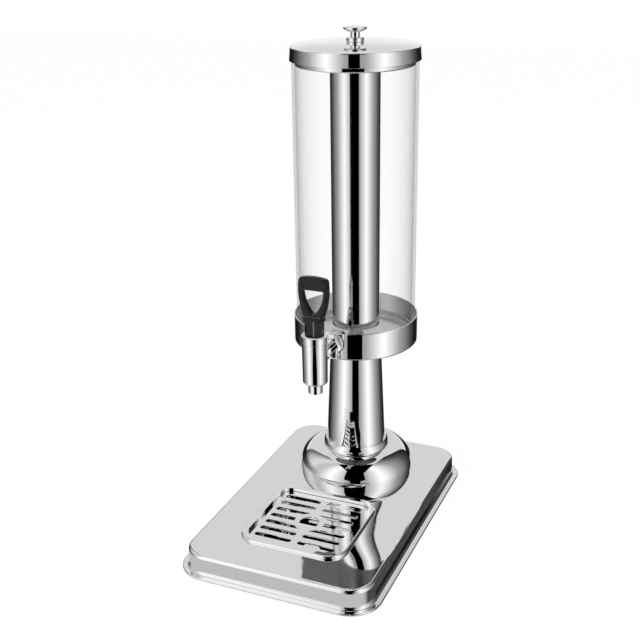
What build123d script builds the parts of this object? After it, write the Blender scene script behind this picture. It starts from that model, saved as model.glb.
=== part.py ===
from build123d import *
import os
from math import cos, radians, sin, sqrt

# Counter-top drink dispenser: a clear upright tank in a metal cup, on a tapered column with a
# round hub, on a hollow stamped base with a lift-out drip tray. A gravity tap draws from the
# foot of the tank, and a closed-ended ice tube hangs in the drink under the lid.
# Millimetres, +Z up. The origin is the middle of the base's footprint on the table, and the
# tap faces -Y.

# ---------------------------------------------------------------- driving dimensions
# Base: one sheet, stamped into a tray upside down
base_width = 216.0
base_length = 324.0
base_height = 24.5
base_sheet = 1.0
base_corner_radius = 33.0
flange_reach = 6.2
flange_lift = 0.6
flange_thickness = 2.0
flange_edge_round = 0.9
flange_cove = 2.2
wall_draft_deg = 2.5
base_top_fold = 4.0

foot_radius = 9.0
foot_tip_radius = 7.5
foot_inset = 26.0

backing_plate_width = 90.0
backing_plate_thickness = 3.0
backing_plate_corner = 6.0

# Tower axis, measured forward from the back edge of the base
tower_setback = 81.0

# Hub under the column: a spun dome, closed at its foot by a floor plate
hub_foot_radius = 65.3
hub_wall_height = 2.0
hub_crown_radius = 38.5
hub_crown_height = 29.75
hub_sheet = 1.0

# Tapered column and the ring at its foot
column_foot_radius = 33.3
column_top_radius = 27.9
column_length = 128.4
column_wall = 1.2
collar_foot_radius = 37.5
collar_top_radius = 34.6
collar_height = 6.8
collar_ledge = 1.0
collar_bulge_depth = 0.5
cap_thickness = 3.0

# Tie rod that clamps base, hub, column and cup together
rod_radius = 4.0
rod_end_spare = 1.8
nut_flats = 13.0
nut_height = 6.5
washer_radius = 9.0
washer_thickness = 1.5
hole_clearance = 0.4

# Cup that holds the tank, and the seal on its floor
tank_fit = 1.6
cup_height = 29.8
cup_wall = 1.2
cup_floor = 2.0
cup_fold = 1.6
seal_height = 3.0
seal_lip_height = 3.5
seal_clearance = 0.2

# Clear tank tube
tank_radius = 65.0
tank_wall = 3.0
tank_length = 310.2

# Lid
lid_sheet = 0.8
lid_top_overhang = 1.0
lid_rim_overhang = 2.15
lid_rim_height = 13.95
lid_fold = 1.2
lid_dome_rise = 3.2
lid_border = 3.0
lid_centre_radius = 10.0

# Plate in the mouth of the tank, and the ice tube that hangs from it
plate_sheet = 0.8
plate_flange_thickness = 1.0
plate_edge_inset = 0.4
plate_clearance = 0.5
plate_depth = 17.8
plate_fold = 1.4
ice_tube_radius = 26.0
ice_tube_wall = 0.8
ice_tube_floor_gap = 15.5
end_cap_height = 8.0
end_cap_fold = 1.2

# Knob on the lid
knob_collar_radius = 9.1
knob_collar_height = 4.3
knob_stem_radius = 4.7
knob_stem_height = 5.4
knob_bowl_radius = 9.6
knob_bowl_rise = 0.5
knob_disc_radius = 12.1
knob_disc_rise = 2.9
knob_disc_edge = 1.9
knob_dome = 0.7
knob_edge_round = 0.7
knob_collar_round = 1.0
knob_neck_round = 0.6
knob_bowl_round = 3.0
knob_rim_round = 1.8
screw_radius = 2.5
screw_head_radius = 4.5
screw_head_height = 2.4
screw_length = 9.0
small_washer_radius = 6.0
small_washer_thickness = 0.8

# Tap: body, spout, bonnet and the valve inside
tap_standoff = 46.7
spout_radius = 7.5
spout_bore = 5.5
spout_drop = 11.3
spout_flange_radius = 8.9
spout_flange_thickness = 1.5
spout_seat_height = 1.0
tap_body_height = 45.1
tap_body_foot_radius = 12.9
tap_body_top_radius = 13.2
tap_body_floor = 5.0
tap_body_round = 2.0
chamber_radius = 9.2
bonnet_socket_radius = 10.6
bonnet_socket_depth = 13.6
bonnet_radius = 13.7
bonnet_height = 7.2
bonnet_bore = 10.3
bonnet_recess = 1.2
bonnet_round = 0.6
bonnet_skirt_wall = 1.6
seat_flange_thickness = 2.0
seat_barrel_radius = 6.2
seat_plug_radius = 7.2
seat_plug_height = 4.0
fit_gap = 0.1
stem_radius = 1.75
stem_button_radius = 3.4
stem_button_height = 2.0
pin_radius = 1.0
pin_rise = 2.3
pin_inset = 1.0
stem_above_pin = 1.6
stem_pocket_clearance = 0.5

# Tap handle
neck_half_width = 9.4
neck_half_depth = 7.0
neck_flat_half_width = 5.4
neck_flat_half_depth = 3.2
neck_length = 19.0
rib_width = 1.6
rib_depth = 0.7
rib_foot_gap = 1.0
rib_offset = 2.2
handle_height = 63.2
handle_top_half_width = 15.2
handle_wide_half_width = 16.0
handle_wide_height = 45.0
handle_waist_half_width = 9.6
handle_waist_height = 18.0
handle_top_bow = 1.8
handle_half_depth = 4.0
handle_corner = 3.6
handle_edge_round = 2.2
waist_boss_half_width = 9.9
waist_boss_half_depth = 7.6
waist_boss_height = 7.0
waist_boss_round = 2.4
finger_hole_half_width = 11.2
finger_hole_top = 49.2
finger_hole_mid_half_width = 9.2
finger_hole_mid = 37.0
finger_hole_bottom = 24.4
finger_hole_tip = 1.6
finger_hole_edge_round = 1.2
thumb_dish_half_width = 11.6
thumb_dish_low = 51.2
thumb_dish_high = 59.8
thumb_dish_depth = 0.9
thumb_dish_corner = 3.0
handle_swing_deg = 30.0
slot_gap = 0.15

# Shank that carries the tap and lets the drink through
nut_floor_clearance = 3.85
shank_radius = 6.5
shank_bore = 4.0
shank_socket_depth = 7.0
shank_socket_reach = 18.0
shank_boss_radius = 8.4
shank_end_spare = 2.5
shank_hole_clearance = 0.3
saddle_radius = 11.5
saddle_thickness = 2.0
spacer_rim = 1.5
flange_nut_flats = 22.0
flange_nut_height = 7.0
flange_disc_radius = 12.6
flange_disc_thickness = 2.0
back_nut_flats = 22.0
back_nut_height = 7.0

# Drip tray and its grille
tray_reach = 137.0
tray_width = 118.0
tray_rim_width = 7.5
tray_rim_height = 3.5
tray_rim_round = 2.6
tray_corner = 21.0
tray_inner_corner = 12.0
tray_sheet = 0.8
tray_depth = 21.5
tray_ledge = 2.5
tray_floor_fold = 3.0
tray_opening_clearance = 0.7
grille_drop = 4.0
grille_thickness = 1.2
grille_clearance = 0.6
grille_rows = 7
grille_pitch = 13.2
slot_width = 6.2
slot_half_bridge = 3.6
slot_reach = 45.0
grille_hole_radius = 10.6
grille_ring_radius = 16.5

# ---------------------------------------------------------------- derived levels and places
tower_y = base_length / 2 - tower_setback
hub_wall_top_z = base_height + hub_wall_height
hub_top_z = base_height + hub_crown_height
column_bottom_z = hub_top_z + collar_ledge
cup_bottom_z = column_bottom_z + column_length
cup_floor_z = cup_bottom_z + cup_floor
cup_top_z = cup_bottom_z + cup_height
tank_bottom_z = cup_floor_z + seal_height
tank_top_z = tank_bottom_z + tank_length
lid_seat_z = tank_top_z + plate_flange_thickness
lid_top_z = lid_seat_z + lid_sheet
knob_seat_z = lid_top_z + lid_dome_rise
knob_washer_top_z = knob_seat_z - lid_sheet
plate_floor_z = lid_seat_z - plate_depth
ice_tube_bottom_z = cup_floor_z + ice_tube_floor_gap
tank_inner_radius = tank_radius - tank_wall
cup_inner_radius = tank_radius + tank_fit
cup_radius = cup_inner_radius + cup_wall
lid_top_radius = tank_radius + lid_top_overhang
lid_rim_radius = tank_radius + lid_rim_overhang
plate_flange_radius = tank_radius - plate_edge_inset
rod_hole_radius = rod_radius + hole_clearance

tap_y = tower_y - cup_radius - tap_standoff
shank_z = cup_floor_z + back_nut_flats / 2 + nut_floor_clearance
tap_top_z = shank_z + shank_boss_radius + fit_gap + bonnet_socket_depth
tap_bottom_z = tap_top_z - tap_body_height
spout_bottom_z = tap_bottom_z - spout_drop
chamber_floor_z = tap_bottom_z + tap_body_floor
bonnet_top_z = tap_top_z + bonnet_height
pivot_z = bonnet_top_z - bonnet_recess
pin_z = pivot_z + pin_rise
swing = radians(handle_swing_deg)
stem_lift = (pin_rise + neck_half_depth * sin(swing)) / cos(swing) - pin_rise

tray_y = tower_y - tray_reach
tray_rim_z = base_height + tray_rim_height
tray_inner_side = tray_width - 2 * tray_rim_width
grille_top_z = tray_rim_z - grille_drop
ledge_z = grille_top_z - grille_thickness
tray_floor_z = tray_rim_z - tray_depth


# ---------------------------------------------------------------- shared shapes
def turned(points, radii=0.0, y=0.0):
    """Solid of revolution about the upright axis at y, from (radius, height) corners."""
    outline = FilletPolyline(*[(r, 0, z) for r, z in points], radius=radii, close=True)
    return Pos(0, y, 0) * revolve(make_face(outline), Axis.Z)


def disc(radius, low, high, y=0.0, bore=0.0):
    """Upright round plate or ring between two heights."""
    plate = Circle(radius) - Circle(bore) if bore else Circle(radius)
    return Pos(0, y, low) * extrude(plate, high - low)


def crosswise(radius, front, back, z, bore=0.0):
    """Round bar or ring along Y between two places."""
    section = Circle(radius) - Circle(bore) if bore else Circle(radius)
    return Plane(origin=(0, front, z), x_dir=(1, 0, 0), z_dir=(0, 1, 0)) * extrude(section, back - front)


def hexagon(flats, bore):
    return RegularPolygon(flats / 2, 6, major_radius=False) - Circle(bore)


def rounded_block(width, length, corner, low, high, y=0.0, taper=0.0):
    return Pos(0, y, low) * extrude(RectangleRounded(width, length, corner), high - low, taper=taper)


def round_edges_at(shape, z, radius):
    """Round every edge that lies wholly at one height."""
    edges = shape.edges().filter_by(lambda e: level(e, z))
    return fillet(edges, radius)


def level(edge, z, tolerance=0.01):
    box = edge.bounding_box()
    return abs(box.min.Z - z) < tolerance and abs(box.max.Z - z) < tolerance


# ---------------------------------------------------------------- base
def base_tray():
    """Hollow base: flat top, drafted walls, hemmed flange; open underneath."""
    foot_width = base_width - 2 * flange_reach
    foot_length = base_length - 2 * flange_reach
    foot_corner = base_corner_radius - flange_reach
    outer = rounded_block(
        foot_width, foot_length, foot_corner, flange_lift, base_height, taper=wall_draft_deg
    )
    outer = round_edges_at(outer, base_height, base_top_fold)
    inner = rounded_block(
        foot_width - 2 * base_sheet,
        foot_length - 2 * base_sheet,
        foot_corner - base_sheet,
        flange_lift,
        base_height - base_sheet,
        taper=wall_draft_deg,
    )
    inner = round_edges_at(inner, base_height - base_sheet, base_top_fold - base_sheet)
    flange_top = flange_lift + flange_thickness
    flange = rounded_block(base_width, base_length, base_corner_radius, flange_lift, flange_top)
    flange = round_edges_at(flange, flange_top, flange_edge_round)
    body = outer + flange
    reach_x = foot_width / 2 + fit_gap
    reach_y = foot_length / 2 + fit_gap
    foot_of_wall = [
        e
        for e in body.edges()
        if level(e, flange_top) and e.bounding_box().max.X < reach_x and e.bounding_box().max.Y < reach_y
        and e.bounding_box().min.X > -reach_x and e.bounding_box().min.Y > -reach_y
    ]
    body = fillet(foot_of_wall, flange_cove) - inner
    opening_side = tray_inner_side + 2 * (tray_sheet + tray_opening_clearance)
    opening_corner = tray_inner_corner + tray_sheet + tray_opening_clearance
    body -= rounded_block(opening_side, opening_side, opening_corner, 0, 2 * base_height, tray_y)
    return body - disc(rod_hole_radius, 0, 2 * base_height, tower_y)


def base_feet():
    """Four rubber feet, stuck under the flat top inside the corners."""
    top = base_height - base_sheet
    foot = Cone(foot_tip_radius, foot_radius, top, align=(Align.CENTER, Align.CENTER, Align.MIN))
    x = base_width / 2 - foot_inset
    y = base_length / 2 - foot_inset
    return [Pos(i * x, j * y, 0) * foot for i in (-1, 1) for j in (-1, 1)]


def backing_plate():
    top = base_height - base_sheet
    plate = rounded_block(
        backing_plate_width,
        backing_plate_width,
        backing_plate_corner,
        top - backing_plate_thickness,
        top,
        tower_y,
    )
    return plate - disc(rod_hole_radius, 0, base_height, tower_y)


# ---------------------------------------------------------------- hub and column
def hub_floor():
    """Plate pressed into the dome's foot, which keeps the foot round."""
    radius = hub_foot_radius - hub_sheet - fit_gap
    return disc(radius, base_height, base_height + hub_sheet, tower_y, rod_hole_radius)


def quarter_ellipse(centre, across, up):
    """From the outer end of an ellipse up to its top."""
    return EllipticalCenterArc(centre, across, up, start_angle=0, arc_size=90)


def hub_dome():
    """Dome that rises from a short upright wall and runs in flat to the column."""
    flat_z = hub_top_z
    across = hub_foot_radius - hub_crown_radius
    up = hub_top_z - hub_wall_top_z
    centre = (hub_crown_radius, hub_wall_top_z)
    outside = quarter_ellipse(centre, across, up)
    inside = quarter_ellipse(centre, across - hub_sheet, up - hub_sheet)
    inner_radius = hub_foot_radius - hub_sheet
    outline = [
        outside,
        Line((hub_crown_radius, flat_z), (rod_hole_radius, flat_z)),
        Line((rod_hole_radius, flat_z), (rod_hole_radius, flat_z - hub_sheet)),
        Line((rod_hole_radius, flat_z - hub_sheet), (hub_crown_radius, flat_z - hub_sheet)),
        inside,
        Line((inner_radius, hub_wall_top_z), (inner_radius, base_height)),
        Line((inner_radius, base_height), (hub_foot_radius, base_height)),
        Line((hub_foot_radius, base_height), (hub_foot_radius, hub_wall_top_z)),
    ]
    section = Plane.XZ * make_face(Curve() + outline)
    return Pos(0, tower_y, 0) * revolve(section, Axis.Z)


def column_radius_at(z):
    share = (z - column_bottom_z) / column_length
    return column_foot_radius + share * (column_top_radius - column_foot_radius)


def column_collar():
    """Ring that dresses the joint of column and hub; the column stands on its ledge."""
    top_z = hub_top_z + collar_height
    ledge_inner = column_foot_radius - 3 * column_wall
    bore_foot = column_radius_at(column_bottom_z) + fit_gap
    bore_top = column_radius_at(top_z) + fit_gap
    middle = ((collar_foot_radius + collar_top_radius) / 2 + collar_bulge_depth, (hub_top_z + top_z) / 2)
    outline = [
        Line((ledge_inner, hub_top_z), (collar_foot_radius, hub_top_z)),
        ThreePointArc((collar_foot_radius, hub_top_z), middle, (collar_top_radius, top_z)),
        Polyline(
            (collar_top_radius, top_z),
            (bore_top, top_z),
            (bore_foot, column_bottom_z),
            (ledge_inner, column_bottom_z),
            (ledge_inner, hub_top_z),
        ),
    ]
    section = Plane.XZ * make_face(Curve() + outline)
    return Pos(0, tower_y, 0) * revolve(section, Axis.Z)


def column():
    points = [
        (column_foot_radius, column_bottom_z),
        (column_top_radius, cup_bottom_z),
        (column_top_radius - column_wall, cup_bottom_z),
        (column_foot_radius - column_wall, column_bottom_z),
    ]
    return turned(points, 0.0, tower_y)


def column_cap():
    """Disc inside the top of the column, which the tie rod passes."""
    low = cup_bottom_z - cap_thickness
    points = [
        (rod_hole_radius, low),
        (column_radius_at(low) - column_wall - fit_gap, low),
        (column_top_radius - column_wall - fit_gap, cup_bottom_z),
        (rod_hole_radius, cup_bottom_z),
    ]
    return turned(points, 0.0, tower_y)


# ---------------------------------------------------------------- tie rod
floor_seal_top_z = cup_floor_z + washer_thickness
upper_washer_top_z = floor_seal_top_z + washer_thickness
upper_nut_top_z = upper_washer_top_z + nut_height
lower_washer_top_z = base_height - base_sheet - backing_plate_thickness
lower_nut_top_z = lower_washer_top_z - washer_thickness
lower_nut_bottom_z = lower_nut_top_z - nut_height


def tie_rod():
    return disc(rod_radius, lower_nut_bottom_z - rod_end_spare, upper_nut_top_z + rod_end_spare, tower_y)


def tie_rod_nuts():
    nut = extrude(hexagon(nut_flats, rod_radius + fit_gap / 2), nut_height)
    return [Pos(0, tower_y, z) * nut for z in (lower_nut_bottom_z, upper_washer_top_z)]


def tie_rod_washers():
    return [
        disc(washer_radius, top - washer_thickness, top, tower_y, rod_hole_radius)
        for top in (lower_washer_top_z, upper_washer_top_z)
    ]


def floor_seal_washer():
    return disc(washer_radius, cup_floor_z, floor_seal_top_z, tower_y, rod_radius + fit_gap)


# ---------------------------------------------------------------- cup and tank
def shank_passage(extra):
    return crosswise(shank_radius + extra, tap_y, tower_y, shank_z)


def tank_cup():
    """Cup with the round band that shows, its wall drilled for the shank."""
    points = [
        (rod_hole_radius, cup_bottom_z),
        (cup_radius, cup_bottom_z),
        (cup_radius, cup_top_z),
        (cup_inner_radius, cup_top_z),
        (cup_inner_radius, cup_floor_z),
        (rod_hole_radius, cup_floor_z),
    ]
    radii = [0, cup_fold, cup_wall / 3, cup_wall / 3, cup_fold / 2, 0]
    return turned(points, radii, tower_y) - shank_passage(shank_hole_clearance)


def tank_seal():
    """Silicone ring of L section that the tank tube stands in."""
    outer = cup_inner_radius - seal_clearance
    lip_inner = tank_radius + seal_clearance
    points = [
        (tank_inner_radius - cup_wall, cup_floor_z),
        (outer - cup_fold / 2, cup_floor_z),
        (outer, cup_floor_z + cup_fold / 2),
        (outer, tank_bottom_z + seal_lip_height),
        (lip_inner, tank_bottom_z + seal_lip_height),
        (lip_inner, tank_bottom_z),
        (tank_inner_radius - cup_wall, tank_bottom_z),
    ]
    return turned(points, 0.0, tower_y)


def tank_tube():
    tube = disc(tank_radius, tank_bottom_z, tank_top_z, tower_y, tank_inner_radius)
    return tube - shank_passage(shank_hole_clearance)


# ---------------------------------------------------------------- ice tube and lid
def ice_tube_plate():
    """Dished plate that rests on the tank's edge and carries the ice tube."""
    wall = tank_inner_radius - plate_clearance
    hole = ice_tube_radius - ice_tube_wall
    low = plate_floor_z - plate_sheet
    points = [
        (hole, low),
        (wall, low),
        (wall, tank_top_z),
        (plate_flange_radius, tank_top_z),
        (plate_flange_radius, lid_seat_z),
        (wall - plate_sheet, lid_seat_z),
        (wall - plate_sheet, plate_floor_z),
        (hole, plate_floor_z),
    ]
    radii = [0, plate_fold, 0, 0, 0, plate_sheet / 2, plate_fold - plate_sheet, 0]
    return turned(points, radii, tower_y)


def ice_tube():
    inner = ice_tube_radius - ice_tube_wall
    return disc(ice_tube_radius, ice_tube_bottom_z, plate_floor_z - plate_sheet, tower_y, inner)


def ice_tube_end_cap():
    """Shallow cup pressed into the tube's foot, flush with its end."""
    outer = ice_tube_radius - ice_tube_wall - fit_gap
    inner = outer - ice_tube_wall
    top = ice_tube_bottom_z + end_cap_height
    points = [
        (0, ice_tube_bottom_z),
        (outer, ice_tube_bottom_z),
        (outer, top),
        (inner, top),
        (inner, ice_tube_bottom_z + ice_tube_wall),
        (0, ice_tube_bottom_z + ice_tube_wall),
    ]
    return turned(points, [0, end_cap_fold, 0, 0, end_cap_fold - ice_tube_wall, 0], tower_y)


def lid_shell():
    """Rim folded from the sheet, a flat border that rests on the plate, and a shallow dome."""
    dome_radius = lid_top_radius - lid_border
    rim_z = lid_top_z - lid_rim_height
    points = [
        (dome_radius, lid_top_z),
        (lid_top_radius, lid_top_z),
        (lid_rim_radius, rim_z),
        (lid_rim_radius - lid_sheet, rim_z),
        (lid_top_radius - lid_sheet, lid_seat_z),
        (dome_radius, lid_seat_z),
    ]
    rim = turned(points, [0, lid_fold, lid_sheet / 3, lid_sheet / 3, lid_fold / 3, 0], tower_y)
    hole = screw_radius + hole_clearance / 2
    outline = [
        Line((hole, knob_seat_z), (lid_centre_radius, knob_seat_z)),
        dome_arc(dome_radius, lid_top_z),
        Line((dome_radius, lid_top_z), (dome_radius, lid_seat_z)),
        dome_arc(dome_radius, lid_seat_z),
        Line((lid_centre_radius, knob_washer_top_z), (hole, knob_washer_top_z)),
        Line((hole, knob_washer_top_z), (hole, knob_seat_z)),
    ]
    section = Plane.XZ * make_face(Curve() + outline)
    return rim + Pos(0, tower_y, 0) * revolve(section, Axis.Z)


def dome_arc(dome_radius, border_z):
    """Arc from the flat centre of the lid down to its border, level where it starts."""
    middle = ((lid_centre_radius + dome_radius) / 2, border_z + lid_dome_rise * (1 - 0.5**2))
    return ThreePointArc((lid_centre_radius, border_z + lid_dome_rise), middle, (dome_radius, border_z))


def lid_knob():
    """Turned knob: collar on the lid, slim stem and a disc with a rounded underside."""
    collar_high = knob_seat_z + knob_collar_height
    stem_high = collar_high + knob_stem_height
    disc_low = stem_high + knob_disc_rise
    disc_high = disc_low + knob_disc_edge
    bore = screw_radius + fit_gap / 2
    bore_top = knob_washer_top_z - small_washer_thickness + screw_length + fit_gap
    points = [
        (bore, knob_seat_z),
        (knob_collar_radius, knob_seat_z),
        (knob_collar_radius, collar_high),
        (knob_stem_radius, collar_high),
        (knob_stem_radius, stem_high),
        (knob_bowl_radius, stem_high + knob_bowl_rise),
        (knob_disc_radius, disc_low),
        (knob_disc_radius, disc_high),
        (0, disc_high + knob_dome),
        (0, bore_top),
        (bore, bore_top),
    ]
    e, c, n = knob_edge_round, knob_collar_round, knob_neck_round
    radii = [0, e / 2, c, n, n, knob_bowl_round, knob_rim_round, e, 0, 0, 0]
    return turned(points, radii, tower_y)


def lid_knob_washer():
    low = knob_washer_top_z - small_washer_thickness
    return disc(small_washer_radius, low, knob_washer_top_z, tower_y, screw_radius + hole_clearance / 2)


def lid_knob_screw():
    head_top = knob_washer_top_z - small_washer_thickness
    head = disc(screw_head_radius, head_top - screw_head_height, head_top, tower_y)
    head = round_edges_at(head, head_top - screw_head_height, screw_head_height / 2)
    return head + disc(screw_radius, head_top, head_top + screw_length, tower_y)


# ---------------------------------------------------------------- shank
outer_wall_y = tower_y - cup_radius
inner_wall_y = tower_y - tank_inner_radius
flange_nut_back_y = outer_wall_y - saddle_thickness
saddle_rise = tank_inner_radius - sqrt(tank_inner_radius**2 - saddle_radius**2)
back_nut_front_y = inner_wall_y + saddle_rise + saddle_thickness
shank_end_y = back_nut_front_y + back_nut_height + shank_end_spare
shank_start_y = tap_y + shank_socket_reach - shank_socket_depth


def tap_shank():
    return crosswise(shank_radius, shank_start_y, shank_end_y, shank_z, shank_bore)


def shank_outer_washer():
    """Silicone saddle: flat to the nut, hollow to the round cup."""
    pad = crosswise(saddle_radius, flange_nut_back_y, tower_y, shank_z, shank_radius + fit_gap)
    return pad - disc(cup_radius, cup_bottom_z, cup_top_z + saddle_radius, tower_y)


def shank_spacer_ring():
    """Silicone ring that fills the gap of cup and tank around the shank."""
    ring = crosswise(
        shank_radius + fit_gap + spacer_rim, outer_wall_y, tower_y, shank_z, shank_radius + fit_gap
    )
    return ring & disc(cup_inner_radius, cup_bottom_z, cup_top_z, tower_y, tank_radius)


def shank_inner_washer():
    """Silicone saddle inside the tank: round to the tube, flat to the nut."""
    pad = crosswise(saddle_radius, outer_wall_y, back_nut_front_y, shank_z, shank_radius + fit_gap)
    return pad & disc(tank_inner_radius, cup_bottom_z, cup_top_z + saddle_radius, tower_y)


def shank_flange_nut():
    """Hexagon nut with a round flange, outside the cup."""
    front = flange_nut_back_y - flange_disc_thickness - flange_nut_height
    plane = Plane(origin=(0, front, shank_z), x_dir=(1, 0, 0), z_dir=(0, 1, 0))
    nut = plane * extrude(hexagon(flange_nut_flats, shank_radius + fit_gap / 2), flange_nut_height)
    cone = plane * Cone(
        flange_nut_flats / 2,
        flange_nut_flats / 2 + 2 * flange_nut_height,
        2 * flange_nut_height,
        align=(Align.CENTER, Align.CENTER, Align.MIN),
    )
    rim_front = flange_nut_back_y - flange_disc_thickness
    rim = crosswise(flange_disc_radius, rim_front, flange_nut_back_y, shank_z, shank_radius + fit_gap / 2)
    return (nut & cone) + rim


def shank_back_nut():
    plane = Plane(origin=(0, back_nut_front_y, shank_z), x_dir=(1, 0, 0), z_dir=(0, 1, 0))
    return plane * extrude(hexagon(back_nut_flats, shank_radius + fit_gap / 2), back_nut_height)


# ---------------------------------------------------------------- tap
def tap_body():
    """Upright body with a socket at the back for the shank and a bored chamber."""
    points = [
        (0, tap_bottom_z),
        (tap_body_foot_radius, tap_bottom_z),
        (tap_body_top_radius, tap_top_z),
        (0, tap_top_z),
    ]
    body = turned(points, [0, tap_body_round, 0, 0], tap_y)
    body += crosswise(shank_boss_radius, tap_y, tap_y + shank_socket_reach, shank_z)
    body -= crosswise(shank_radius + fit_gap / 2, shank_start_y, tower_y, shank_z)
    body -= crosswise(shank_bore, tap_y, tower_y, shank_z)
    body -= disc(spout_radius + fit_gap / 2, 0, tap_top_z, tap_y)
    body -= disc(chamber_radius, chamber_floor_z, tap_top_z, tap_y)
    return body - disc(bonnet_socket_radius, tap_top_z - bonnet_socket_depth, tap_top_z, tap_y)


def tap_spout():
    """Sleeve through the foot of the body, with the valve's seat on top."""
    flange_top = chamber_floor_z + spout_flange_thickness
    seat_top = flange_top + spout_seat_height
    points = [
        (spout_bore, spout_bottom_z),
        (spout_radius, spout_bottom_z),
        (spout_radius, chamber_floor_z),
        (spout_flange_radius, chamber_floor_z),
        (spout_flange_radius, flange_top),
        (spout_radius - fit_gap, flange_top),
        (spout_radius - 3 * fit_gap, seat_top),
        (spout_bore, seat_top),
    ]
    return turned(points, [0, 0.5, 0, 0, 0, 0, 0, 0], tap_y)


def tap_bonnet():
    """Ring cap screwed into the body; the handle's foot rocks on its shelf."""
    skirt_low = tap_top_z - bonnet_socket_depth + seat_flange_thickness
    skirt_outer = bonnet_socket_radius - fit_gap
    hole = stem_radius + hole_clearance
    points = [
        (hole, tap_top_z),
        (skirt_outer - bonnet_skirt_wall, tap_top_z),
        (skirt_outer - bonnet_skirt_wall, skirt_low),
        (skirt_outer, skirt_low),
        (skirt_outer, tap_top_z),
        (bonnet_radius, tap_top_z),
        (bonnet_radius, bonnet_top_z),
        (bonnet_bore, bonnet_top_z),
        (bonnet_bore, pivot_z),
        (hole, pivot_z),
    ]
    return turned(points, [0, 0, 0, 0, 0, bonnet_round / 2, bonnet_round, bonnet_round / 2, 0, 0], tap_y)


seat_low_z = chamber_floor_z + spout_flange_thickness + spout_seat_height
seat_flange_low_z = tap_top_z - bonnet_socket_depth
button_low_z = seat_low_z + stem_button_height / 2


def seat_cup():
    """Silicone cup that closes the spout, with its flange clamped under the bonnet."""
    flange_top = seat_flange_low_z + seat_flange_thickness
    plug_top = seat_low_z + seat_plug_height
    bore = stem_radius + fit_gap
    pocket = stem_button_radius + fit_gap
    pocket_top = button_low_z + stem_button_height + fit_gap
    points = [
        (0, seat_low_z),
        (seat_plug_radius, seat_low_z),
        (seat_plug_radius, plug_top),
        (seat_barrel_radius, plug_top + seat_plug_height),
        (seat_barrel_radius, seat_flange_low_z),
        (bonnet_socket_radius - fit_gap, seat_flange_low_z),
        (bonnet_socket_radius - fit_gap, flange_top),
        (bore, flange_top),
        (bore, pocket_top),
        (pocket, pocket_top),
        (pocket, button_low_z - fit_gap),
        (0, button_low_z - fit_gap),
    ]
    return turned(points, 0.0, tap_y)


def valve_stem():
    top = pin_z + stem_above_pin
    rod = disc(stem_radius, button_low_z, top, tap_y)
    button = disc(stem_button_radius, button_low_z, button_low_z + stem_button_height, tap_y)
    eye = Pos(0, tap_y, pin_z) * Cylinder(pin_radius + fit_gap / 4, 4 * stem_radius, rotation=(0, 90, 0))
    return rod + button - eye


def handle_pin():
    length = 2 * (neck_half_width - pin_inset)
    return Pos(0, tap_y, pin_z) * Cylinder(pin_radius, length, rotation=(0, 90, 0))


def handle_outline():
    """Front outline of the grip, widest above its middle, with a bowed top."""
    waist_z = pivot_z + handle_waist_height
    top_z = pivot_z + handle_height - handle_top_bow
    wide_z = pivot_z + handle_wide_height
    w = handle_waist_half_width
    t = handle_top_half_width
    edges = [
        Line((-w, waist_z), (w, waist_z)),
        ThreePointArc((w, waist_z), (handle_wide_half_width, wide_z), (t, top_z)),
        ThreePointArc((t, top_z), (0, top_z + handle_top_bow), (-t, top_z)),
        ThreePointArc((-t, top_z), (-handle_wide_half_width, wide_z), (-w, waist_z)),
    ]
    outline = make_face(Curve() + edges)
    corners = outline.vertices().filter_by(lambda v: v.Y > wide_z)
    return fillet(corners, handle_corner)


def finger_hole_outline():
    """Shield-shaped hole: flat top, bowed sides, rounded point below."""
    top_z = pivot_z + finger_hole_top
    mid_z = pivot_z + finger_hole_mid
    tip_z = pivot_z + finger_hole_bottom
    side_z = tip_z + finger_hole_tip
    h = finger_hole_half_width
    m = finger_hole_mid_half_width
    s = 2 * finger_hole_tip
    edges = [
        Line((-h, top_z), (h, top_z)),
        ThreePointArc((h, top_z), (m, mid_z), (s, side_z)),
        ThreePointArc((s, side_z), (0, tip_z), (-s, side_z)),
        ThreePointArc((-s, side_z), (-m, mid_z), (-h, top_z)),
    ]
    outline = make_face(Curve() + edges)
    corners = outline.vertices().filter_by(lambda v: v.Y > mid_z)
    return fillet(corners, finger_hole_tip)


def hole_rims(grip):
    """Edges of the finger hole on the front and back faces."""
    low = pivot_z + finger_hole_bottom - fit_gap
    high = pivot_z + finger_hole_top + fit_gap
    side = finger_hole_half_width + fit_gap
    rims = []
    for face in grip.faces().filter_by(Axis.Y):
        for edge in face.inner_wires()[0].edges():
            box = edge.bounding_box()
            if box.min.Z > low and box.max.Z < high and box.max.X < side:
                rims.append(edge)
    return rims


def upright_slab(sketch, half_depth):
    """Extrude an X-Z outline evenly to both sides of the tap's axis."""
    return Pos(0, tap_y, 0) * (Plane.XZ * extrude(sketch, half_depth, both=True))


def thumb_dish():
    """Shallow dish for the thumb in the front of the grip, above the finger hole."""
    size = (2 * thumb_dish_half_width, thumb_dish_high - thumb_dish_low)
    middle = pivot_z + (thumb_dish_low + thumb_dish_high) / 2
    floor_y = tap_y - handle_half_depth + thumb_dish_depth
    front = Plane(origin=(0, floor_y, middle), x_dir=(1, 0, 0), z_dir=(0, -1, 0))
    dish = front * extrude(RectangleRounded(*size, thumb_dish_corner), 2 * thumb_dish_depth)
    return fillet(dish.faces().sort_by(Axis.Y)[-1].edges(), thumb_dish_depth * 0.8)


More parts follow.
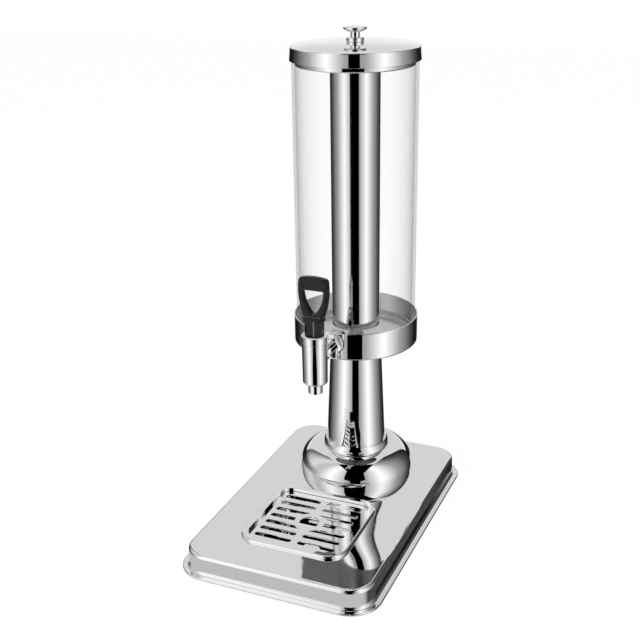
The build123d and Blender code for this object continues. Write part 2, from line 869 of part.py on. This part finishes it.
def tap_handle():
    """Black moulded grip with a finger hole, on a faceted neck that rocks in the bonnet."""
    grip = upright_slab(handle_outline(), handle_half_depth)
    faces = grip.faces().filter_by(Axis.Y)
    grip = fillet(faces.edges(), handle_edge_round)
    hole = upright_slab(finger_hole_outline(), 2 * handle_half_depth)
    grip -= hole
    grip = fillet(hole_rims(grip), finger_hole_edge_round) - thumb_dish()
    w, d = neck_half_width, neck_half_depth
    fw, fd = neck_flat_half_width, neck_flat_half_depth
    back = [(w, -fd), (w, fd), (fw, d), (-fw, d)]
    front = [(-w, fd), (-w, -fd), (-fw, -d), (fw, -d)]
    facets = Polygon(*back, *front, align=None)
    neck = Pos(0, tap_y, pivot_z) * extrude(facets, neck_length)
    boss_low = pivot_z + handle_waist_height - waist_boss_height / 2
    boss = Pos(0, tap_y, boss_low + waist_boss_height / 2) * Box(
        2 * waist_boss_half_width, 2 * waist_boss_half_depth, waist_boss_height
    )
    boss = fillet(boss.edges(), waist_boss_round)
    rib_low = bonnet_top_z + rib_foot_gap - pivot_z
    rib_left = rib_offset - rib_width / 2
    rib = handle_box((rib_left, -d - rib_depth, rib_low), (rib_left + rib_width, 0, neck_length))
    return grip + neck + boss + rib - stem_pocket() - pin_slot()


def stem_pocket():
    """Room in the neck for the stem, which stays upright while the handle tips."""
    front = stem_radius + stem_pocket_clearance
    raised = pin_rise + stem_above_pin + stem_lift
    back = tipped_back(neck_half_depth + stem_radius, raised) + stem_pocket_clearance
    top = tipped_up(neck_half_depth - stem_radius, raised) + stem_pocket_clearance
    return handle_box((-front, -front, -1), (front, back - neck_half_depth, top))


def pin_slot():
    """Slot in which the pin drifts back as the handle tips, and the hole it went in by."""
    reach = pin_radius + slot_gap
    raised = pin_rise + stem_lift
    back = tipped_back(neck_half_depth, raised) - neck_half_depth
    half = swing / 2
    bulge = (pin_rise + stem_lift / 2) * cos(half) - neck_half_depth * sin(half)
    end = neck_half_width - pin_inset + slot_gap
    slot = handle_box((-end, -reach, pin_rise - reach), (end, back + reach, bulge + reach))
    way_in = Pos(-neck_half_width, tap_y, pin_z) * Cylinder(reach, neck_half_width, rotation=(0, 90, 0))
    return slot + way_in


def tipped_back(back, up):
    """Depth behind the hinge, in the fully tipped handle, of a place given from the hinge."""
    return back * cos(swing) + up * sin(swing)


def tipped_up(back, up):
    """Height over the hinge, in the fully tipped handle, of a place given from the hinge."""
    return up * cos(swing) - back * sin(swing)


def handle_box(low, high):
    """Box between two corners, given from the tap's axis at the height of the hinge."""
    size = [b - a for a, b in zip(low, high)]
    box = Box(*size, align=(Align.MIN, Align.MIN, Align.MIN))
    return Pos(low[0], tap_y + low[1], pivot_z + low[2]) * box


# ---------------------------------------------------------------- drip tray
def drip_tray():
    """Pan with a rolled rim that rests on the base, and a ledge for the grille."""
    t = tray_sheet
    rim = rounded_block(tray_width, tray_width, tray_corner, base_height, tray_rim_z, tray_y)
    rim = round_edges_at(rim, tray_rim_z, tray_rim_round)
    under = rounded_block(
        tray_width - 2 * t, tray_width - 2 * t, tray_corner - t, base_height, tray_rim_z - t, tray_y
    )
    under = round_edges_at(under, tray_rim_z - t, tray_rim_round - t)
    upper = tray_inner_side
    lower = tray_inner_side - 2 * tray_ledge
    lower_corner = tray_inner_corner - tray_ledge
    upper_side = upper + 2 * t
    upper_out = rounded_block(
        upper_side, upper_side, tray_inner_corner + t, ledge_z - t, tray_rim_z, tray_y
    )
    upper_in = rounded_block(upper, upper, tray_inner_corner, ledge_z, 2 * tray_rim_z, tray_y)
    lower_side = lower + 2 * t
    lower_out = rounded_block(
        lower_side, lower_side, lower_corner + t, tray_floor_z - t, ledge_z, tray_y
    )
    lower_out = round_edges_at(lower_out, tray_floor_z - t, tray_floor_fold + t)
    lower_in = rounded_block(lower, lower, lower_corner, tray_floor_z, 2 * tray_rim_z, tray_y)
    lower_in = round_edges_at(lower_in, tray_floor_z, tray_floor_fold)
    return (rim - under) + upper_out + lower_out - upper_in - lower_in


def drip_grille():
    """Flat plate with two columns of slots round a middle hole."""
    side = tray_inner_side - 2 * grille_clearance
    plate = RectangleRounded(side, side, tray_inner_corner - grille_clearance)
    length = slot_reach - slot_half_bridge
    middle = (slot_reach + slot_half_bridge) / 2
    places = [
        Pos(i * middle, (row - (grille_rows - 1) / 2) * grille_pitch)
        for i in (-1, 1)
        for row in range(grille_rows)
    ]
    slots = Sketch() + [place * SlotOverall(length, slot_width) for place in places]
    plate -= slots - Circle(grille_ring_radius)
    plate -= Circle(grille_hole_radius)
    return Pos(0, tray_y, ledge_z) * extrude(plate, grille_thickness)


# ---------------------------------------------------------------- one file per piece
nodes = [
    base_tray,
    base_feet,
    backing_plate,
    hub_floor,
    hub_dome,
    column_collar,
    column,
    column_cap,
    tie_rod,
    tie_rod_nuts,
    tie_rod_washers,
    floor_seal_washer,
    tank_cup,
    tank_seal,
    tank_tube,
    ice_tube_plate,
    ice_tube,
    ice_tube_end_cap,
    lid_shell,
    lid_knob,
    lid_knob_washer,
    lid_knob_screw,
    tap_shank,
    shank_outer_washer,
    shank_spacer_ring,
    shank_inner_washer,
    shank_flange_nut,
    shank_back_nut,
    tap_body,
    tap_spout,
    tap_bonnet,
    seat_cup,
    valve_stem,
    handle_pin,
    tap_handle,
    drip_tray,
    drip_grille,
]

os.makedirs("parts", exist_ok=True)
for make in nodes:
    piece = make()
    if isinstance(piece, list):
        piece = Compound(children=piece)
    piece.label = make.__name__
    export_step(piece, f"parts/{make.__name__}.step")
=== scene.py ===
from math import cos, pi, radians, sin

import bpy
from mathutils import Matrix, Vector


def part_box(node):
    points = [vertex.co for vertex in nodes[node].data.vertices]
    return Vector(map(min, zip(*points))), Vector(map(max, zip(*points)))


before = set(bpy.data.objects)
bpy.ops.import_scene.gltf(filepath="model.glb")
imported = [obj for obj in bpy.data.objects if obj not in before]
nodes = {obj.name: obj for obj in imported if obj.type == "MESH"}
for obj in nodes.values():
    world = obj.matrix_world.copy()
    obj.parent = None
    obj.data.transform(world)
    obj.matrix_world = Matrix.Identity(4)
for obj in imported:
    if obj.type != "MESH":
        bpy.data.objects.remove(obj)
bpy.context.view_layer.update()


# ---------------------------------------------------------------- camera
# The photograph was taken from the front and a little to the right, from above the lid. Its
# place is measured from the tower's axis, and its tilt from the tower's leaning edges.
column_low, column_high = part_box("column")
tower = (column_low + column_high) / 2
camera_bearing = radians(21.22)
camera_distance = 1.0923
camera_height = 0.6365
camera_heading = radians(23.30)
camera_pitch = radians(21.61)
camera_roll = radians(-0.9)
lens_millimetres = 59.69
sensor_millimetres = 36

camera_place = Vector(
    (
        tower.x + camera_distance * sin(camera_bearing),
        tower.y - camera_distance * cos(camera_bearing),
        camera_height,
    )
)
camera = bpy.data.objects.new("camera", bpy.data.cameras.new("camera"))
camera.data.lens = lens_millimetres
camera.data.sensor_width = sensor_millimetres
camera.matrix_world = (
    Matrix.Translation(camera_place)
    @ Matrix.Rotation(camera_heading, 4, "Z")
    @ Matrix.Rotation(pi / 2 - camera_pitch, 4, "X")
    @ Matrix.Rotation(camera_roll, 4, "Z")
)
bpy.context.scene.collection.objects.link(camera)
bpy.context.scene.camera = camera
bpy.context.scene.view_settings.view_transform = "Standard"


# ---------------------------------------------------------------- studio
# A white room. The metal mirrors it as a studio for polished goods is set up: a tall black
# card in front, a soft white screen on each side of it, dark ends behind them and a white
# wall at the back.
class Wire:
    """One output of a node tree. Sums on it add Math nodes to that tree."""

    def __init__(self, tree, socket=None):
        self.tree = tree
        self.socket = socket

    def node(self, kind, inputs=None, output=0, stops=(), **settings):
        """Any other node: its settings first, then the values or links of its sockets."""
        made = self.tree.nodes.new("ShaderNode" + kind)
        for name, value in settings.items():
            setattr(made, name, value)
        for position, level in stops:
            stop = made.color_ramp.elements.new(position)
            stop.color = (level, level, level, 1)
        if stops:
            made.color_ramp.elements.remove(made.color_ramp.elements[0])
            made.color_ramp.elements.remove(made.color_ramp.elements[-1])
        for name, value in (inputs or {}).items():
            if isinstance(value, Wire):
                self.tree.links.new(value.socket, made.inputs[name])
            else:
                made.inputs[name].default_value = value
        return Wire(self.tree, made.outputs[output])

    def maths(self, operation, *values):
        return self.node("Math", dict(enumerate(values)), operation=operation)

    def __add__(self, other):
        return self.maths("ADD", self, other)

    def __sub__(self, other):
        return self.maths("SUBTRACT", self, other)

    def __rsub__(self, other):
        return self.maths("SUBTRACT", other, self)

    def __mul__(self, other):
        return self.maths("MULTIPLY", self, other)

    def __truediv__(self, other):
        return self.maths("DIVIDE", self, other)

    def __abs__(self):
        return self.maths("ABSOLUTE", self)

    __radd__ = __add__
    __rmul__ = __mul__

    def ramp(self, low, high):
        """0 below low, 1 above high and smooth between."""
        limits = {"Value": self, "From Min": low, "From Max": high}
        return self.node("MapRange", limits, interpolation_type="SMOOTHSTEP")

    def feed(self, shader, name):
        self.tree.links.new(self.socket, shader.inputs[name])


# A direction is told by its turn, to the right from the camera's bearing, and by how far up it
# points, from -1 to 1. A pair of values says where a change starts and where it is complete.
room_light = 0.75

screen_turns = [0, 18, 52, 88, 120, 138, 160, 180]
screen_levels = [0.31, 0.42, 1.2, 0.41, 0.09, 0.01, 0.015, 0.33]
screen_slope = 2.475
screen_facing = radians(85)
screen_edge = 0.03

left_screen_near_end = (radians(75), radians(108))
left_screen_far_end = (radians(112), radians(150))
left_screen_foot = (0.0, 0.3)
left_screen_level = 0.55

card_edge = radians(0.8)
card_turn = radians(-2)
card_half_width = radians(13.5)
low_card_top = (-0.425, -0.405)
low_card_extra = radians(6)
knob_card_foot = (-0.26, -0.17)
knob_card_extra = radians(14)
high_card_foot = (-0.08, 0.0)
high_card_half_width = radians(9.5)
raised_card_foot = (0.12, 0.25)
raised_card_turn = radians(-3.4)
raised_card_half_width = radians(21)
tank_card_turn = radians(-4)
tank_card_half_width = radians(20.5)

table_edge = (-0.5, -0.46)
table_level = 0.57
table_dark_end = (radians(55), radians(85))
table_dark_drop = 0.5

wall_level = 0.74
wall_side = (radians(139), radians(143))
wall_foot = (0.03, 0.1)
overhead_front = (0.0, 0.05)
horizon_glow = 0.2
horizon_top = (0.05, 0.27)

world = bpy.data.worlds.new("white room")
world.use_nodes = True
world.cycles.sampling_method = "NONE"
bpy.context.scene.world = world
background = world.node_tree.nodes["Background"]
background.inputs["Color"].default_value = (1, 1, 1, 1)
start = Wire(world.node_tree)
way = start.node("TexCoord", output="Generated")
east, north, up = (start.node("SeparateXYZ", {"Vector": way}, output=axis) for axis in "XYZ")
toward = east * sin(camera_bearing) - north * cos(camera_bearing)
across = east * cos(camera_bearing) + north * sin(camera_bearing)
turn = start.maths("ARCTAN2", across, toward)

# The screens' light changes with the turn alone, and one more stands high on the left.
brightest = max(screen_levels)
screens = brightest * start.node(
    "ValToRGB",
    {"Fac": abs(turn) / pi},
    stops=[(a / 180, level / brightest) for a, level in zip(screen_turns, screen_levels)],
)
leftward = 0 - turn
left_screen = leftward.ramp(*left_screen_near_end) * (1 - leftward.ramp(*left_screen_far_end))
screens += left_screen * up.ramp(*left_screen_foot) * left_screen_level

# The card is cut to another width, and moved a little, for each height that pieces mirror. The
# ice tube, which is seen through the tank's wall, has a wider card of its own.
high = up.ramp(*high_card_foot)
raised = up.ramp(*raised_card_foot)
half_width = card_half_width + high * (high_card_half_width - card_half_width)
half_width += (1 - up.ramp(*low_card_top)) * low_card_extra
half_width += up.ramp(*knob_card_foot) * (1 - high) * knob_card_extra
half_width += raised * (raised_card_half_width - high_card_half_width)
in_tank = start.maths("MINIMUM", start.node("LightPath", output="Transparent Depth"), 1)
half_width += in_tank * (tank_card_half_width - half_width)
card_middle = card_turn + raised * (raised_card_turn - card_turn)
card_middle += in_tank * (tank_card_turn - card_middle)

# Far below the horizon is the table in front, which is even but for its dark right end.
on_table = 1 - up.ramp(*table_edge)
past_card = (abs(turn - card_middle) - half_width).ramp(0, card_edge)
past_card = start.maths("MAXIMUM", past_card, on_table)
screen_top = screen_slope * (abs(across) * sin(screen_facing) + toward * cos(screen_facing))
on_screen = (screen_top - up).ramp(0, screen_edge)
table_light = table_level - turn.ramp(*table_dark_end) * table_dark_drop
studio = screens * past_card * on_screen * (1 - on_table) + table_light * on_table

# The white wall behind and overhead is a little brighter near the horizon.
behind = abs(turn).ramp(*wall_side) * up.ramp(*wall_foot)
overhead = (1 - on_screen) * (1 - toward.ramp(*overhead_front))
wall = start.maths("MAXIMUM", behind, overhead)
near_horizon = (1 - up.ramp(*horizon_top)) * horizon_glow
mirrored = studio * (1 - wall) + (wall_level + near_horizon) * wall

# Only metal mirrors the studio. The camera sees white, also through the tank, and what isn't
# bright metal gets plain light.
seen = start.maths(
    "MAXIMUM",
    start.node("LightPath", output="Is Camera Ray"),
    start.node("LightPath", output="Is Transmission Ray"),
)
glossy = start.node("LightPath", output="Is Glossy Ray")
unseen_level = glossy * mirrored + (1 - glossy) * room_light
(seen + (1 - seen) * unseen_level).feed(background, "Strength")

floor_reach = 4
floor_tone = 0.12
floor_glow = 0.9
floor_corners = [(-1, -1), (1, -1), (1, 1), (-1, 1)]
floor_mesh = bpy.data.meshes.new("floor")
floor_places = [(x * floor_reach, y * floor_reach, 0) for x, y in floor_corners]
floor_mesh.from_pydata(floor_places, [], [(0, 1, 2, 3)])
floor = bpy.data.objects.new("floor", floor_mesh)
floor.visible_glossy = False
floor_material = bpy.data.materials.new("white floor")
floor_material.use_nodes = True
floor_shader = floor_material.node_tree.nodes["Principled BSDF"]
floor_shader.inputs["Base Color"].default_value = (floor_tone, floor_tone, floor_tone, 1)
floor_shader.inputs["Roughness"].default_value = 1
floor_shader.inputs["Specular IOR Level"].default_value = 0
floor_shader.inputs["Emission Color"].default_value = (1, 1, 1, 1)
floor_shader.inputs["Emission Strength"].default_value = floor_glow
floor_mesh.materials.append(floor_material)
bpy.context.scene.collection.objects.link(floor)


def softbox(name, place, side, power):
    """A large square lamp that metal doesn't mirror, as the screens stand in for it there."""
    lamp = bpy.data.objects.new(name, bpy.data.lights.new(name, "AREA"))
    lamp.data.size = side
    lamp.data.energy = power
    lamp.visible_glossy = False
    lamp.location = place
    lamp.rotation_mode = "QUATERNION"
    lamp.rotation_quaternion = (lamp_target - Vector(place)).to_track_quat("-Z", "Y")
    bpy.context.scene.collection.objects.link(lamp)


lamp_target = Vector((0, 0, 0.2))
softbox("key softbox", place=(-0.9, -1.1, 1.5), side=0.9, power=9)
softbox("fill softbox", place=(1.3, -0.4, 1.0), side=0.8, power=4)


# ---------------------------------------------------------------- base
# One sheet of stainless steel, stamped into a shallow upside-down tray and polished to a
# mirror. It stands on rubber feet, and a plate under its top spreads the tie rod's pull.
base_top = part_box("base_tray")[1].z
steel_tone = 0.87
steel_blue = 1.005
mirror_roughness = 0.012
smear_scale = 22
smear_limits = (0.35, 0.75)
rolled_grain = 900
rolled_contrast = 0.15
rubber_grain = 2500
rubber_grain_depth = 0.0001
rubber_patch_scale = 600
rubber_patch_contrast = 0.2
sheet_smears = 0.05
sheet_wave_scale = 12
sheet_wave_height = 0.00012
sheet_bend = -0.05
bend_begins = (0.085, 0.125)
bend_ends = (0.15, 0.2)
back_bend_begins = (0.175, 0.22)
back_bend_share = 0.4
bend_narrowness = 156
flat_top = (base_top - 0.001, base_top - 0.0001)
speck_scale = 420
speck_limits = (0.79, 0.82)
speck_darkness = 0.5


def new_material(name):
    material = bpy.data.materials.new(name)
    material.use_nodes = True
    shader = material.node_tree.nodes["Principled BSDF"]
    return material, shader, Wire(material.node_tree)


def set_values(shader, **values):
    for name, value in values.items():
        shader.inputs[name.replace("_", " ").title()].default_value = value


def dress(material, *names):
    for name in names:
        for slot in nodes[name].material_slots:
            slot.material = material


def object_place(start):
    """X, Y and Z in metres, in the shared frame."""
    place = start.node("TexCoord", output="Object")
    return [start.node("SeparateXYZ", {"Vector": place}, output=axis) for axis in "XYZ"]


def noise(start, scale, detail=2.0):
    place = start.node("TexCoord", output="Object")
    return start.node("TexNoise", {"Vector": place, "Scale": scale, "Detail": detail})


def smeared(start, smears):
    """Roughness of a mirror polish with faint smears a few centimetres wide."""
    return mirror_roughness + noise(start, smear_scale, 4.0).ramp(*smear_limits) * smears


def feed_grey(tone, shader):
    tone.node("CombineColor", {0: tone, 1: tone, 2: tone}).feed(shader, "Base Color")


def feed_bump(height, shader, distance=1.0, strength=1.0):
    bump = {"Height": height, "Distance": distance, "Strength": strength}
    height.node("Bump", bump).feed(shader, "Normal")


def polished_steel(name, smears, wave_length, wave_height):
    """Mirror-bright steel: faint smears in the polish, and the metal's own slow waves."""
    material, shader, start = new_material(name)
    colour = (steel_tone, steel_tone, steel_tone * steel_blue, 1)
    set_values(shader, metallic=1.0, base_color=colour)
    smeared(start, smears).feed(shader, "Roughness")
    feed_bump(noise(start, 1 / wave_length, 1.0), shader, distance=wave_height)
    return material


def dull_metal(name, tone, roughness):
    """Plain steel of the hidden fasteners, as rolled or cut."""
    material, shader, start = new_material(name)
    set_values(shader, metallic=1.0, base_color=(tone, tone, tone, 1))
    (roughness + noise(start, rolled_grain) * rolled_contrast).feed(shader, "Roughness")
    return material


def moulded_rubber(name, colour, roughness):
    """Rubber or silicone with the fine grain of its mould."""
    material, shader, start = new_material(name)
    set_values(shader, base_color=(*colour, 1))
    patches = noise(start, rubber_patch_scale) * rubber_patch_contrast
    (roughness + patches).feed(shader, "Roughness")
    feed_bump(noise(start, rubber_grain), shader, distance=rubber_grain_depth, strength=0.4)
    return material


def base_steel():
    """The polished sheet, with a slight bend at some distance forward of the tower's axis."""
    material, shader, start = new_material("base sheet steel")
    set_values(shader, metallic=1.0)
    x, y, z = object_place(start)
    sideways = x * cos(camera_bearing) + (y - tower.y) * sin(camera_bearing)
    forward = x * sin(camera_bearing) - (y - tower.y) * cos(camera_bearing)
    bent = forward.ramp(*bend_begins) * (1 - forward.ramp(*bend_ends))
    bent_back = forward.ramp(*back_bend_begins) * back_bend_share
    slope = (bent - bent_back) * sheet_bend * z.ramp(*flat_top)
    nearby = start.maths("EXPONENT", sideways * sideways * -bend_narrowness)
    waves = noise(start, sheet_wave_scale, 1.0) * sheet_wave_height
    feed_bump(sideways * nearby * slope + waves, shader)
    smeared(start, sheet_smears).feed(shader, "Roughness")
    specks = noise(start, speck_scale, 1.0).ramp(*speck_limits)
    feed_grey(steel_tone - specks * speck_darkness, shader)
    return material


dress(base_steel(), "base_tray")
dress(moulded_rubber("foot rubber", colour=(0.02, 0.02, 0.02), roughness=0.6), "base_feet")
dress(dull_metal("zinc plate", tone=0.45, roughness=0.35), "backing_plate")


# ---------------------------------------------------------------- hub, column and tie rod
# A spun dome makes the round hub. A ring seats the tapered tube on it, and a rod inside
# pulls base, hub, column and cup together.
hub_steel = polished_steel("spun hub steel", smears=0.03, wave_length=0.05, wave_height=0.00004)
dress(hub_steel, "hub_dome", "hub_floor")
tube_steel = polished_steel(
    "polished tube steel", smears=0.02, wave_length=0.06, wave_height=0.000004
)
dress(tube_steel, "column_collar", "column")
turned_steel = dull_metal("turned steel", tone=0.5, roughness=0.25)
dress(turned_steel, "column_cap", "tie_rod", "tie_rod_nuts", "tie_rod_washers")


# ---------------------------------------------------------------- cup and seals
# A spun cup with a bright outside, a brushed inside and an underside painted darker as shade,
# which holds the tank's foot on a silicone ring.
cup_low, cup_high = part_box("tank_cup")
cup_radius = (cup_high.x - cup_low.x) / 2
cup_wall = 0.0012
cup_roughness = 0.03
brushed_roughness = 0.2
brushed_darkness = 0.1
streak_contrast = 0.16
streak_scales = (2, 1500, 8)
# Painted shade: how much darker the cup's downward face is painted.
underside_painted_shade = 0.47
underside_top = (cup_low.z + 0.0003, cup_low.z + 0.0006)


def cup_steel():
    """Bright outside, brushed inside and an underside darkened by painted shade. Mirrors seen
    through the tank's wall don't show it.
    """
    material, shader, start = new_material("cup steel")
    set_values(shader, metallic=1.0)
    x, y, z = object_place(start)
    from_axis = start.maths("SQRT", x * x + (y - tower.y) * (y - tower.y))
    inside = 1 - from_axis.ramp(cup_radius - cup_wall * 0.75, cup_radius - cup_wall * 0.5)
    stretched = [value * scale for value, scale in zip((from_axis, z, x), streak_scales)]
    streaks = start.node("CombineXYZ", dict(enumerate(stretched)))
    brushing = start.node("TexNoise", {"Vector": streaks, "Scale": 1.0, "Detail": 3.0})
    brushing = brushing * streak_contrast
    (cup_roughness + inside * (brushed_roughness + brushing)).feed(shader, "Roughness")
    # The downward face gets painted shade in its base colour, while its roughness stays
    # mirror-smooth.
    underside = 1 - z.ramp(*underside_top)
    tone = steel_tone - inside * (brushed_darkness + brushing) - underside * underside_painted_shade
    feed_grey(tone, shader)
    glossy = start.node("LightPath", output="Is Glossy Ray")
    depth = start.maths("MINIMUM", start.node("LightPath", output="Transparent Depth"), 1)
    (1 - glossy * depth).feed(shader, "Alpha")
    return material


dress(cup_steel(), "tank_cup")
clear_silicone = moulded_rubber("clear silicone", colour=(0.75, 0.75, 0.72), roughness=0.35)
dress(clear_silicone, "tank_seal", "floor_seal_washer")


# ---------------------------------------------------------------- tank
# A clear extruded tube with polished ends.
plastic_gloss = 0.01
plastic_rim_gloss = 0.35
plastic_rim_narrowness = 2.5


def clear_plastic():
    """A clear film that mirrors more at a glancing angle. It doesn't bend light."""
    material, shader, start = new_material("clear tank plastic")
    set_values(shader, metallic=1.0, base_color=(0.95, 0.95, 0.95, 1), roughness=0.02)
    film = start.node("BsdfTransparent", {"Color": (0.99, 0.991, 0.991, 1)})
    glancing = start.node("LayerWeight", {"Blend": 0.5}, output="Facing")
    rim = start.maths("POWER", glancing, plastic_rim_narrowness)
    gloss = plastic_gloss + rim * plastic_rim_gloss
    mirror = Wire(material.node_tree, shader.outputs[0])
    mix = start.node("MixShader", {"Fac": gloss, 1: film, 2: mirror})
    mix.feed(material.node_tree.nodes["Material Output"], "Surface")
    return material


dress(clear_plastic(), "tank_tube")


# ---------------------------------------------------------------- shank and tap
# A threaded tube through cup and tank carries the tap, which is turned and polished. Its
# valve sits in a silicone cup in the spout.
tap_steel = polished_steel(
    "polished tap steel", smears=0.01, wave_length=0.03, wave_height=0.000001
)
dress(tap_steel, "tap_body", "tap_spout", "tap_bonnet", "tap_shank", "shank_flange_nut")
valve_steel = dull_metal("valve steel", tone=0.55, roughness=0.2)
dress(valve_steel, "valve_stem", "handle_pin", "shank_back_nut")
shank_rubber = moulded_rubber("shank washer silicone", colour=(0.7, 0.7, 0.68), roughness=0.4)
dress(shank_rubber, "shank_outer_washer", "shank_spacer_ring", "shank_inner_washer", "seat_cup")


# ---------------------------------------------------------------- tap handle
# A black moulded lever with a finger hole. A thin rib runs up the front of its neck.
handle_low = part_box("tap_handle")[0]
handle_tone = 0.005
handle_gloss = 0.3
handle_roughness = 0.16
handle_patch_scale = 300
handle_patch_contrast = 0.14
handle_grain = 1800
handle_grain_depth = 0.00004
rib_middle = 0.0022
rib_half_width = (0.0006, 0.0009)
rib_front = (handle_low.y + 0.0004, handle_low.y + 0.0008)
rib_top = (handle_low.z + 0.0169, handle_low.z + 0.0189)
# How much lighter the rib's painted highlight makes its base colour.
painted_rib_highlight = 0.12


def handle_plastic():
    """Black moulding with a soft gloss; the rib on its neck is painted lighter as a highlight."""
    material, shader, start = new_material("handle plastic")
    shader.inputs["Specular IOR Level"].default_value = handle_gloss
    x, y, z = object_place(start)
    on_rib = (1 - abs(x - rib_middle).ramp(*rib_half_width)) * (1 - y.ramp(*rib_front))
    # A painted highlight: the rib's strip below its top is lighter grey in the base colour.
    feed_grey(handle_tone + on_rib * (1 - z.ramp(*rib_top)) * painted_rib_highlight, shader)
    patches = noise(start, handle_patch_scale, 3.0) * handle_patch_contrast
    (handle_roughness + patches).feed(shader, "Roughness")
    feed_bump(noise(start, handle_grain), shader, distance=handle_grain_depth, strength=0.5)
    return material


dress(handle_plastic(), "tap_handle")
# The polished pieces show no image of the black handle.
nodes["tap_handle"].visible_glossy = False


# ---------------------------------------------------------------- ice tube
# A dished plate rests on the tank's edge and carries the closed tube that holds ice. All of it
# is polished as the column is.
dress(tube_steel, "ice_tube_plate", "ice_tube", "ice_tube_end_cap")


# ---------------------------------------------------------------- lid and knob
# A pressed lid with a folded rim and a shallow dome, and a turned knob held by a screw.
lid_steel = polished_steel("lid sheet steel", smears=0.02, wave_length=0.06, wave_height=0.00002)
dress(lid_steel, "lid_shell", "lid_knob")
screw_steel = dull_metal("screw steel", tone=0.5, roughness=0.25)
dress(screw_steel, "lid_knob_screw", "lid_knob_washer")


# ---------------------------------------------------------------- drip tray and grille
# A pressed pan with a rolled rim, and a slotted plate that lies on its ledge.
tray_steel = polished_steel("tray sheet steel", smears=0.04, wave_length=0.04, wave_height=0.00004)
dress(tray_steel, "drip_tray", "drip_grille")
